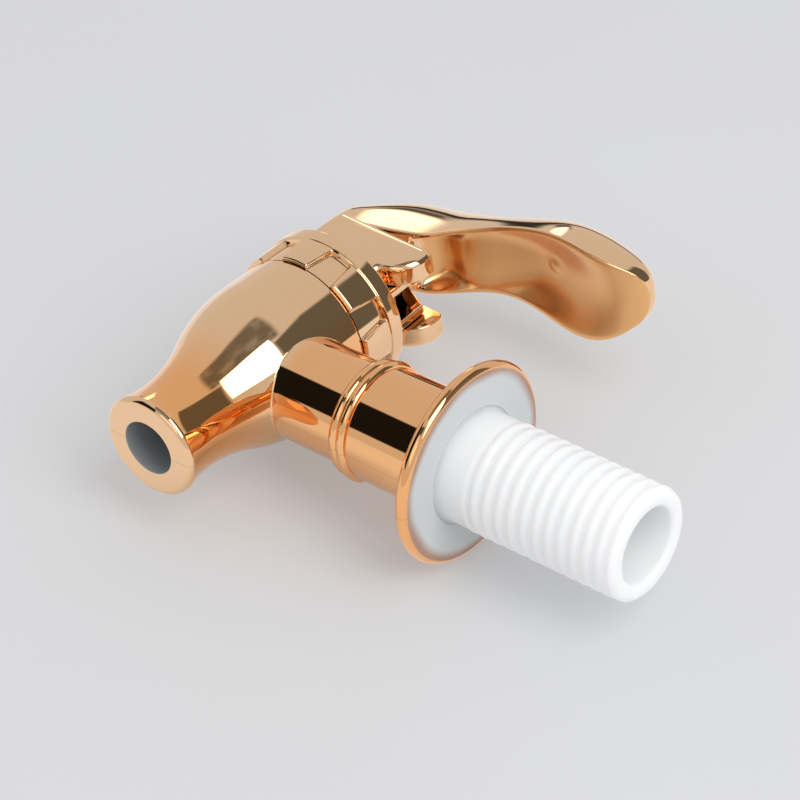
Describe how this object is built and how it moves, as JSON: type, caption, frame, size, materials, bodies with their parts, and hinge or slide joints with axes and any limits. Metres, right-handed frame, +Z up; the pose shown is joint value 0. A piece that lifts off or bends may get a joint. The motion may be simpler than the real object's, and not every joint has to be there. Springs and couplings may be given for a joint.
{
  "type": "bottle tap",
  "caption": "Push-lever dispensing tap with a downward spout, a gripped bonnet nut and a threaded flanged shank.",
  "frame": {"origin": "centre of the flange's seating face, on the shank's axis", "axes": "+Y along the shank into the container, +Z up, the spout points along -Z"},
  "size_m": [0.0288, 0.0784, 0.0655],
  "materials": {
    "body_plating": "mirror rose-gold plating on moulded plastic, white plastic at the shank",
    "bonnet_plating": "mirror rose-gold plating on moulded plastic",
    "lever_plating": "mirror rose-gold plating on moulded plastic",
    "stem_plastic": "smooth white moulding",
    "pin_steel": "ground steel",
    "cup_silicone": "translucent white silicone",
    "spring_steel": "drawn stainless wire"
  },
  "bodies": {
    "body": {"tap_body": "body_plating", "bonnet": "bonnet_plating", "seat_cup": "cup_silicone", "return_spring": "spring_steel"},
    "stem": {"valve_stem": "stem_plastic"},
    "lever": {"lever": "lever_plating", "lever_pin": "pin_steel"}
  },
  "joints": [
    {"name": "stem_lift", "type": "slide", "parent": "body", "child": "stem", "axis": [0, 0, 1], "range_m": [0, 0.0024], "deforming": ["seat_cup", "return_spring"]},
    {"name": "lever_tilt", "type": "hinge", "parent": "stem", "child": "lever", "pos_m": [0, -0.0376, 0.0244], "axis": [-0.9919, 0.1271, 0], "range_deg": [0, 25], "stiffness_Nm_per_rad": 0.12, "springref_deg": -34.38}
  ],
  "couplings": [
    {"joint": "lever_tilt", "follows": "stem_lift", "rad_per_m": 181.8}
  ]
}
